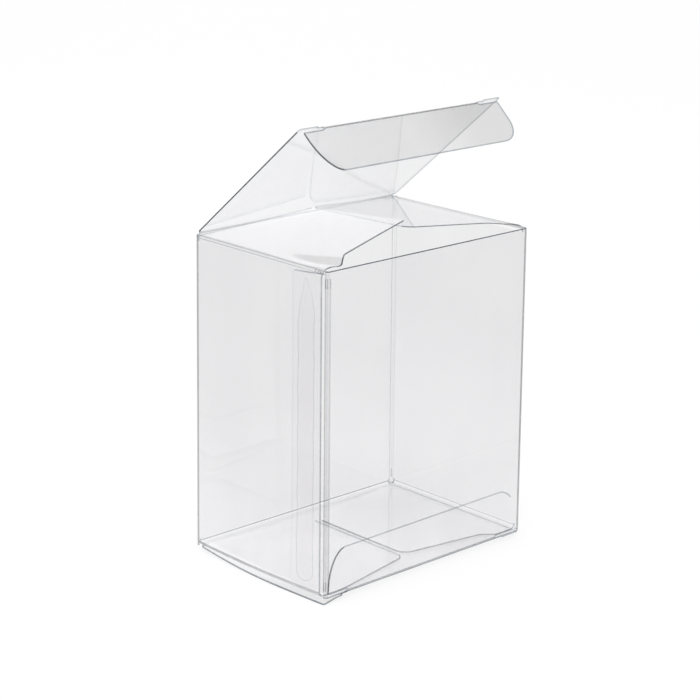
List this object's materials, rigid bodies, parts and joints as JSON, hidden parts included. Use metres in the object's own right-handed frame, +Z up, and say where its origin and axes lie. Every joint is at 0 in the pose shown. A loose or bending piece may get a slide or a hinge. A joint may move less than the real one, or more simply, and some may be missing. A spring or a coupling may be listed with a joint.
{
  "type": "favor box",
  "caption": "Clear plastic favor box with upright walls, a hinged tuck lid with lock slits, folding dust flaps and a tuck base, made from creased and glued sheet.",
  "frame": {"origin": "centre of the footprint, on the surface that the base rests on", "axes": "+Z up along the walls, +X to the right along the wide front, -Y out of the front, +Y towards the lid's hinge"},
  "size_m": [0.09, 0.0636, 0.1487],
  "materials": {
    "clear_sheet": "clear gloss",
    "clear_glue": "clear satin"
  },
  "bodies": {
    "sleeve": {"front_panel": "clear_sheet", "right_panel": "clear_sheet", "back_panel": "clear_sheet", "left_panel": "clear_sheet", "glue_flap": "clear_sheet", "glue_line": "clear_glue"},
    "lid": {"lid_panel": "clear_sheet"},
    "lid_tuck": {"lid_tuck_flap": "clear_sheet"},
    "top_left_dust": {"top_left_dust_flap": "clear_sheet"},
    "top_right_dust": {"top_right_dust_flap": "clear_sheet"},
    "base": {"base_panel": "clear_sheet"},
    "base_tuck": {"base_tuck_flap": "clear_sheet"},
    "base_left_dust": {"base_left_dust_flap": "clear_sheet"},
    "base_right_dust": {"base_right_dust_flap": "clear_sheet"}
  },
  "joints": [
    {"name": "lid_hinge", "type": "hinge", "parent": "sleeve", "child": "lid", "pos_m": [0, 0.0316, 0.10785], "axis": [-1, 0, 0], "range_deg": [-40, 140]},
    {"name": "lid_tuck_fold", "type": "hinge", "parent": "lid", "child": "lid_tuck", "pos_m": [0, -0.01628, 0.14802], "axis": [-1, 0, 0], "range_deg": [-23.2, 81.2]},
    {"name": "top_left_dust_fold", "type": "hinge", "parent": "sleeve", "child": "top_left_dust", "pos_m": [-0.04485, 0, 0.10745], "axis": [0, -1, 0], "range_deg": [-13.33, 46.67]},
    {"name": "top_right_dust_fold", "type": "hinge", "parent": "sleeve", "child": "top_right_dust", "pos_m": [0.04485, 0, 0.10745], "axis": [0, 1, 0], "range_deg": [-13.33, 46.67]},
    {"name": "base_hinge", "type": "hinge", "parent": "sleeve", "child": "base", "pos_m": [0, 0.0316, 0.00015], "axis": [1, 0, 0], "range_deg": [0, 180]},
    {"name": "base_tuck_fold", "type": "hinge", "parent": "base", "child": "base_tuck", "pos_m": [0, -0.0309, 0.00015], "axis": [1, 0, 0], "range_deg": [0, 36]},
    {"name": "base_left_dust_fold", "type": "hinge", "parent": "sleeve", "child": "base_left_dust", "pos_m": [-0.04485, 0, 0.00055], "axis": [0, 1, 0], "range_deg": [0, 43.2]},
    {"name": "base_right_dust_fold", "type": "hinge", "parent": "sleeve", "child": "base_right_dust", "pos_m": [0.04485, 0, 0.00055], "axis": [0, -1, 0], "range_deg": [0, 43.2]}
  ],
  "couplings": [
    {"joint": "lid_tuck_fold", "follows": "lid_hinge", "ratio": 0.58},
    {"joint": "top_left_dust_fold", "follows": "lid_hinge", "ratio": 0.33333},
    {"joint": "top_right_dust_fold", "follows": "lid_hinge", "ratio": 0.33333},
    {"joint": "base_tuck_fold", "follows": "base_hinge", "ratio": 0.2},
    {"joint": "base_left_dust_fold", "follows": "base_hinge", "ratio": 0.24},
    {"joint": "base_right_dust_fold", "follows": "base_hinge", "ratio": 0.24}
  ]
}
